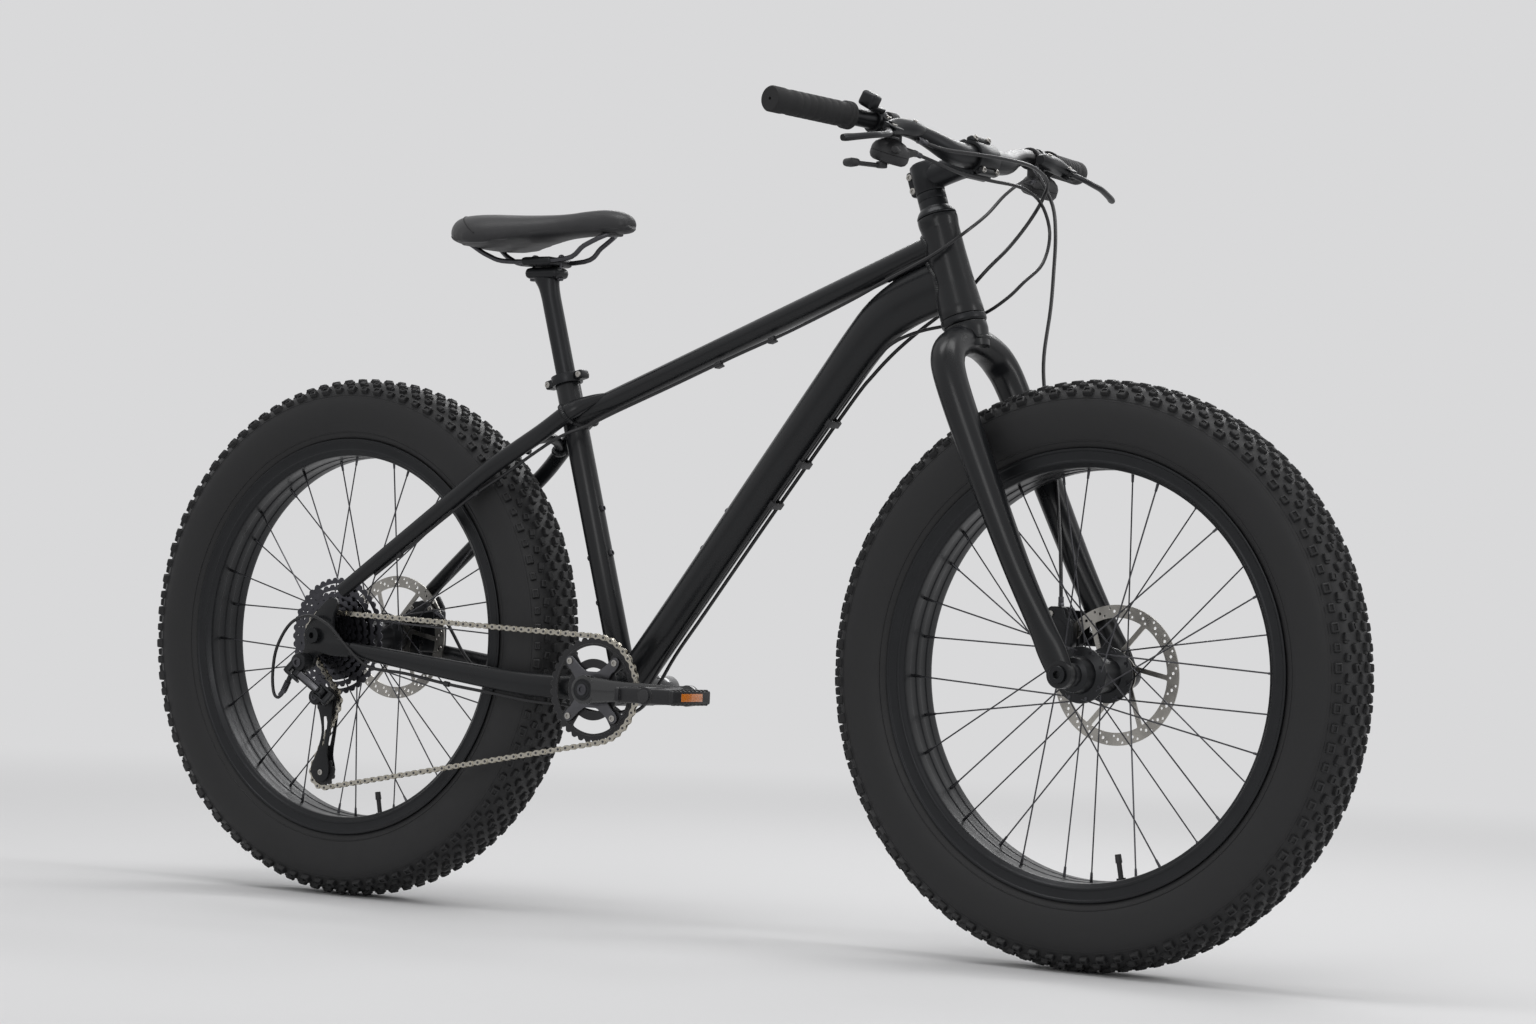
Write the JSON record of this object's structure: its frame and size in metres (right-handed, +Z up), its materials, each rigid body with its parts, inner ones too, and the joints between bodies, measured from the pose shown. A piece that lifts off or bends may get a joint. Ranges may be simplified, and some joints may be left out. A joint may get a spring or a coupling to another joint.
{
  "type": "fat tyre bicycle",
  "caption": "Hardtail fat bike with a rigid fork, wide knobbly tyres, disc brakes, one chainring, a wide-range cassette, a flat riser handlebar and a slim saddle.",
  "frame": {"origin": "on the ground, midway between the two wheel axles, in the bicycle's middle plane", "axes": "+X forward, +Y to the rider's left, +Z up"},
  "size_m": [1.958, 0.7766, 1.0933],
  "materials": {
    "frame_paint": "matt",
    "anodised_black": "satin anodised",
    "tyre_rubber": "matt",
    "steel": "satin",
    "nickel_chain": "nickel plated",
    "saddle_cover": "smooth synthetic",
    "grip_rubber": "matt",
    "hose_plastic": "satin",
    "moulded_black": "satin"
  },
  "bodies": {
    "frame": {"head_tube": "frame_paint", "headset_lower_cup": "anodised_black", "seat_tube": "frame_paint", "top_tube": "frame_paint", "down_tube": "frame_paint", "bottom_bracket_shell": "frame_paint", "chainstay_right": "frame_paint", "chainstay_left": "frame_paint", "seatstay_right": "frame_paint", "seatstay_left": "frame_paint", "seat_collar": "anodised_black", "rear_axle": "anodised_black", "rear_brake_caliper": "anodised_black", "chain": "nickel_chain", "rear_brake_hose": "hose_plastic", "left_pod_housing": "hose_plastic", "derailleur_housing_front": "hose_plastic", "derailleur_housing_rear": "hose_plastic"},
    "seat": {"seatpost": "anodised_black", "saddle_clamp": "anodised_black", "saddle_rails": "anodised_black", "saddle": "saddle_cover"},
    "steering": {"fork": "frame_paint", "headset_cover_and_spacers": "anodised_black", "front_axle": "anodised_black", "stem": "anodised_black", "stem_faceplate": "anodised_black", "handlebar": "anodised_black", "grip_right": "grip_rubber", "grip_left": "grip_rubber", "brake_lever_body_right": "anodised_black", "brake_lever_body_left": "anodised_black", "shifter_body_right": "moulded_black", "shifter_body_left": "moulded_black", "front_brake_caliper": "anodised_black", "front_brake_hose": "hose_plastic"},
    "brake_blade_right": {"brake_lever_blade_right": "anodised_black"},
    "brake_blade_left": {"brake_lever_blade_left": "anodised_black"},
    "shift_thumb": {"shifter_thumb_lever": "moulded_black"},
    "shift_release": {"shifter_release_lever": "moulded_black"},
    "front_wheel": {"front_tyre": "tyre_rubber", "front_rim": "anodised_black", "front_hub": "anodised_black", "front_rotor": "steel"},
    "rear_wheel": {"rear_tyre": "tyre_rubber", "rear_rim": "anodised_black", "rear_hub": "anodised_black", "rear_rotor": "steel"},
    "cassette": {"cassette": "steel"},
    "cranks": {"crank_right": "anodised_black", "crank_left": "anodised_black", "chainring": "anodised_black"},
    "pedal_right": {"pedal_right": "moulded_black"},
    "pedal_left": {"pedal_left": "moulded_black"},
    "derailleur_knuckle": {"derailleur_b_knuckle": "anodised_black"},
    "derailleur_link": {"derailleur_link": "anodised_black"},
    "derailleur_lower": {"derailleur_p_knuckle": "anodised_black"},
    "derailleur_cage": {"derailleur_cage": "anodised_black"},
    "guide_pulley": {"guide_pulley": "moulded_black"},
    "tension_pulley": {"tension_pulley": "moulded_black"}
  },
  "joints": [
    {"name": "steering_turn", "type": "hinge", "parent": "frame", "child": "steering", "pos_m": [0.3457, 0, 0.9602], "axis": [-0.3256, 0, 0.9455], "range_deg": [-60, 60], "deforming": ["rear_brake_hose", "left_pod_housing", "derailleur_housing_front"]},
    {"name": "front_wheel_spin", "type": "hinge", "parent": "steering", "child": "front_wheel", "pos_m": [0.605, 0, 0.374], "axis": [0, 1, 0], "continuous": true},
    {"name": "rear_wheel_spin", "type": "hinge", "parent": "frame", "child": "rear_wheel", "pos_m": [-0.605, 0, 0.374], "axis": [0, 1, 0], "continuous": true},
    {"name": "crank_turn", "type": "hinge", "parent": "frame", "child": "cranks", "pos_m": [-0.125, 0, 0.32], "axis": [0, 1, 0], "continuous": true},
    {"name": "cassette_turn", "type": "hinge", "parent": "frame", "child": "cassette", "pos_m": [-0.605, 0, 0.374], "axis": [0, 1, 0], "continuous": true},
    {"name": "pedal_turn_right", "type": "hinge", "parent": "cranks", "child": "pedal_right", "pos_m": [0.05, -0.16, 0.32], "axis": [0, 1, 0], "continuous": true},
    {"name": "pedal_turn_left", "type": "hinge", "parent": "cranks", "child": "pedal_left", "pos_m": [-0.3, 0.16, 0.32], "axis": [0, 1, 0], "continuous": true},
    {"name": "saddle_height", "type": "slide", "parent": "frame", "child": "seat", "axis": [-0.2807, 0, 0.9598], "range_m": [-0.13, 0.09]},
    {"name": "brake_pull_right", "type": "hinge", "parent": "steering", "child": "brake_blade_right", "pos_m": [0.41131, -0.223, 1.04312], "axis": [-0.4695, 0, -0.8829], "range_deg": [0, 20], "stiffness_Nm_per_rad": 1, "springref_deg": -11.46},
    {"name": "brake_pull_left", "type": "hinge", "parent": "steering", "child": "brake_blade_left", "pos_m": [0.41131, 0.223, 1.04312], "axis": [0.4695, 0, 0.8829], "range_deg": [0, 20], "stiffness_Nm_per_rad": 1, "springref_deg": -11.46},
    {"name": "shift_thumb_push", "type": "hinge", "parent": "steering", "child": "shift_thumb", "pos_m": [0.385, -0.202, 1.003], "axis": [0, 0, 1], "range_deg": [0, 25], "stiffness_Nm_per_rad": 0.2, "springref_deg": -11.46},
    {"name": "shift_release_pull", "type": "hinge", "parent": "steering", "child": "shift_release", "pos_m": [0.401, -0.208, 1.0195], "axis": [0, 0, 1], "range_deg": [-15, 0], "stiffness_Nm_per_rad": 0.2, "springref_deg": 11.46},
    {"name": "derailleur_b_pivot", "type": "hinge", "parent": "frame", "child": "derailleur_knuckle", "pos_m": [-0.6175, -0.099, 0.335], "axis": [0, 1, 0], "range_deg": [0, 20], "stiffness_Nm_per_rad": 0.8, "springref_deg": -17.19, "deforming": ["chain", "derailleur_housing_rear"]},
    {"name": "derailleur_shift", "type": "hinge", "parent": "derailleur_knuckle", "child": "derailleur_link", "pos_m": [-0.6205, -0.117, 0.319], "axis": [0.4211, 0.4874, 0.7649], "range_deg": [-16, 30], "stiffness_Nm_per_rad": 1, "deforming": ["chain"]},
    {"name": "derailleur_level", "type": "hinge", "parent": "derailleur_link", "child": "derailleur_lower", "pos_m": [-0.586, -0.106, 0.293], "axis": [0.4211, 0.4874, 0.7649], "range_deg": [-30, 16]},
    {"name": "cage_swing", "type": "hinge", "parent": "derailleur_lower", "child": "derailleur_cage", "pos_m": [-0.591, -0.098, 0.287], "axis": [0, 1, 0], "range_deg": [-40, 15], "stiffness_Nm_per_rad": 0.4, "deforming": ["chain"]},
    {"name": "guide_pulley_turn", "type": "hinge", "parent": "derailleur_cage", "child": "guide_pulley", "pos_m": [-0.595, -0.0791, 0.281], "axis": [0, 1, 0], "continuous": true},
    {"name": "tension_pulley_turn", "type": "hinge", "parent": "derailleur_cage", "child": "tension_pulley", "pos_m": [-0.597, -0.0791, 0.179], "axis": [0, 1, 0], "continuous": true}
  ],
  "couplings": [
    {"joint": "cassette_turn", "follows": "crank_turn", "ratio": 2.1176},
    {"joint": "guide_pulley_turn", "follows": "crank_turn", "ratio": -3.2727},
    {"joint": "tension_pulley_turn", "follows": "crank_turn", "ratio": 3.2727},
    {"joint": "derailleur_level", "follows": "derailleur_shift", "ratio": -1}
  ]
}
